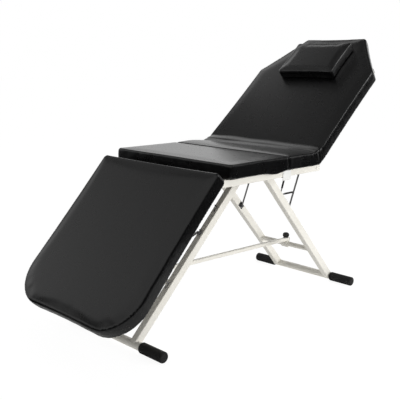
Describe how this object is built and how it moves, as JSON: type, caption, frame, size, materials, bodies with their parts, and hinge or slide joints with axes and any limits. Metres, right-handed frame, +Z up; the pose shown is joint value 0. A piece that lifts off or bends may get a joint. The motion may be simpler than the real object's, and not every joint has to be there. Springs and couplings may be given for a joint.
{
  "type": "folding treatment table",
  "caption": "Folding three-section treatment bed: black padded seat, reclining back with head pillow, hanging leg rest, on folding cream square-tube legs with rubber feet.",
  "frame": {"origin": "middle of the table's box on the floor", "axes": "+X from the leg rest to the head end, +Y to the left side, +Z up"},
  "size_m": [1.4726, 0.57, 1.0217],
  "materials": {
    "black_vinyl": "soft black upholstery vinyl with a fine grain",
    "cream_frame": "cream powder coat, satin",
    "black_rubber": "matte black rubber",
    "black_plastic": "moulded black plastic",
    "bare_steel": "zinc plated steel",
    "plywood": "plywood stained black",
    "white_plastic": "moulded white plastic",
    "grip_tape": "black hook and loop tape"
  },
  "bodies": {
    "seat": {"seat_cushion": "black_vinyl", "rear_seat_cushion": "black_vinyl", "seat_board": "plywood", "rear_seat_board": "plywood", "seat_rail_left": "cream_frame", "seat_rail_right": "cream_frame", "seat_crossbars": "cream_frame", "leg_bracket_left": "cream_frame", "leg_bracket_right": "cream_frame", "section_hinge_pins": "cream_frame", "rail_end_plugs": "white_plastic", "rail_straps": "white_plastic", "leg_pivot_bolts": "bare_steel"},
    "back": {"back_cushion": "black_vinyl", "back_board": "plywood", "back_tube_left": "cream_frame", "back_tube_right": "cream_frame", "back_crossbar_lower": "cream_frame", "back_crossbar_upper": "cream_frame", "back_prop_ears": "cream_frame", "back_tube_plugs": "black_plastic", "back_prop_pins": "bare_steel", "pillow_loop_strips": "grip_tape"},
    "pillow": {"pillow": "black_vinyl", "pillow_hook_strips": "grip_tape"},
    "leg_rest": {"leg_rest_cushion": "black_vinyl", "leg_rest_board": "plywood", "leg_rest_tube_left": "cream_frame", "leg_rest_tube_right": "cream_frame", "leg_rest_crossbar_upper": "cream_frame", "leg_rest_crossbar_lower": "cream_frame", "leg_prop_eyes": "cream_frame", "leg_rest_tube_plugs": "black_plastic"},
    "leg_rest_prop": {"leg_rest_prop": "bare_steel"},
    "front_legs": {"front_leg_left": "cream_frame", "front_leg_right": "cream_frame", "front_crossbar": "cream_frame", "front_foot_bar": "cream_frame", "leg_rest_hooks": "bare_steel", "front_feet": "black_rubber", "front_leg_caps": "black_plastic", "front_leg_bushes": "black_plastic"},
    "rear_legs": {"rear_leg_left": "cream_frame", "rear_leg_right": "cream_frame", "rear_crossbar": "cream_frame", "rear_foot_bar": "cream_frame", "prop_catches": "bare_steel", "rear_feet": "black_rubber", "rear_leg_caps": "black_plastic", "rear_leg_bushes": "black_plastic"},
    "brace": {"brace_tube": "cream_frame", "brace_clamp": "cream_frame", "brace_saddle": "cream_frame", "brace_plugs": "black_plastic", "knob_washer": "bare_steel"},
    "knob": {"knob": "black_plastic", "knob_stud": "bare_steel"},
    "back_prop": {"back_prop_rods": "bare_steel", "release_lever": "bare_steel", "lever_sleeves": "black_plastic"}
  },
  "joints": [
    {"name": "leg_fold", "type": "hinge", "parent": "seat", "child": "front_legs", "pos_m": [-0.03196, 0, 0.505], "axis": [0, -1, 0], "range_deg": [0, 126]},
    {"name": "rear_leg_fold", "type": "hinge", "parent": "seat", "child": "rear_legs", "pos_m": [0.08304, 0, 0.505], "axis": [0, -1, 0], "range_deg": [0, 44]},
    {"name": "brace_swing", "type": "hinge", "parent": "rear_legs", "child": "brace", "pos_m": [0.40537, 0, 0.16], "axis": [0, -1, 0], "range_deg": [-44, 0]},
    {"name": "knob_turn", "type": "hinge", "parent": "brace", "child": "knob", "pos_m": [0.40537, 0, 0.1778], "axis": [0.0302, 0, 0.9995], "range_deg": [0, 360]},
    {"name": "back_tilt", "type": "hinge", "parent": "seat", "child": "back", "pos_m": [0.21804, 0, 0.5375], "axis": [0, -1, 0], "range_deg": [-40, 20]},
    {"name": "back_prop_swing", "type": "hinge", "parent": "back", "child": "back_prop", "pos_m": [0.39302, 0, 0.66344], "axis": [0, -1, 0], "range_deg": [-10, 20]},
    {"name": "leg_rest_tilt", "type": "hinge", "parent": "seat", "child": "leg_rest", "pos_m": [-0.29796, 0, 0.5375], "axis": [0, 1, 0], "range_deg": [0, 47]},
    {"name": "leg_rest_prop_swing", "type": "hinge", "parent": "leg_rest", "child": "leg_rest_prop", "pos_m": [-0.59217, 0, 0.2198], "axis": [0, 1, 0], "range_deg": [-24, 0]},
    {"name": "pillow_slide", "type": "slide", "parent": "back", "child": "pillow", "axis": [0.766, 0, 0.6428], "range_m": [-0.06, 0.03]}
  ],
  "couplings": [
    {"joint": "rear_leg_fold", "follows": "leg_fold", "ratio": 0.3484},
    {"joint": "brace_swing", "follows": "leg_fold", "ratio": -0.3484},
    {"joint": "back_prop_swing", "follows": "back_tilt", "ratio": -0.4875},
    {"joint": "leg_rest_prop_swing", "follows": "leg_rest_tilt", "ratio": -0.5}
  ]
}
